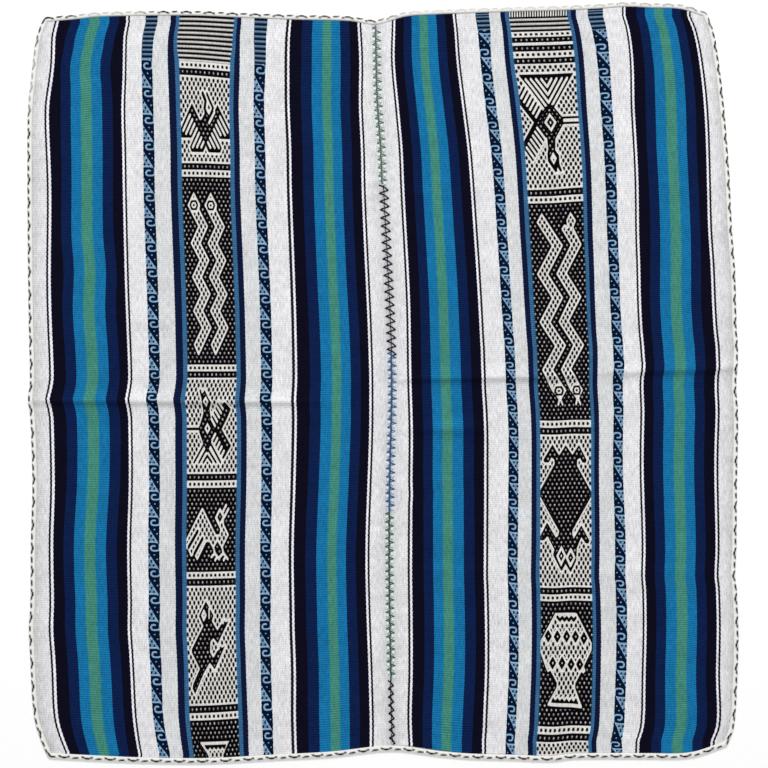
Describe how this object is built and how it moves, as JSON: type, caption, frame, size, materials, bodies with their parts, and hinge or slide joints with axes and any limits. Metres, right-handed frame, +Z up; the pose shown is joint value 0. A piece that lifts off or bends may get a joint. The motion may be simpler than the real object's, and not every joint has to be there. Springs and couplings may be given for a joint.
{
  "type": "mesa cloth",
  "caption": "Two-panel striped Andean mesa cloth with figured bands, a stitched middle seam and a tubular woven edge band, lying flat.",
  "frame": {"origin": "on the surface that the cloth lies on, under the middle of its box", "axes": "+Z up off that surface, +Y up the cloth along its warps as it is looked at, +X to the right across both panels"},
  "size_m": [0.7108, 0.7605, 0.0048],
  "materials": {
    "panel": "warp-faced woven wool, striped and figured, matt",
    "edge_band": "tubular woven wool band with dark slanting marks, matt"
  },
  "bodies": {
    "root": {"panel_left": "panel", "panel_right": "panel", "edge_band": "edge_band"}
  },
  "joints": []
}
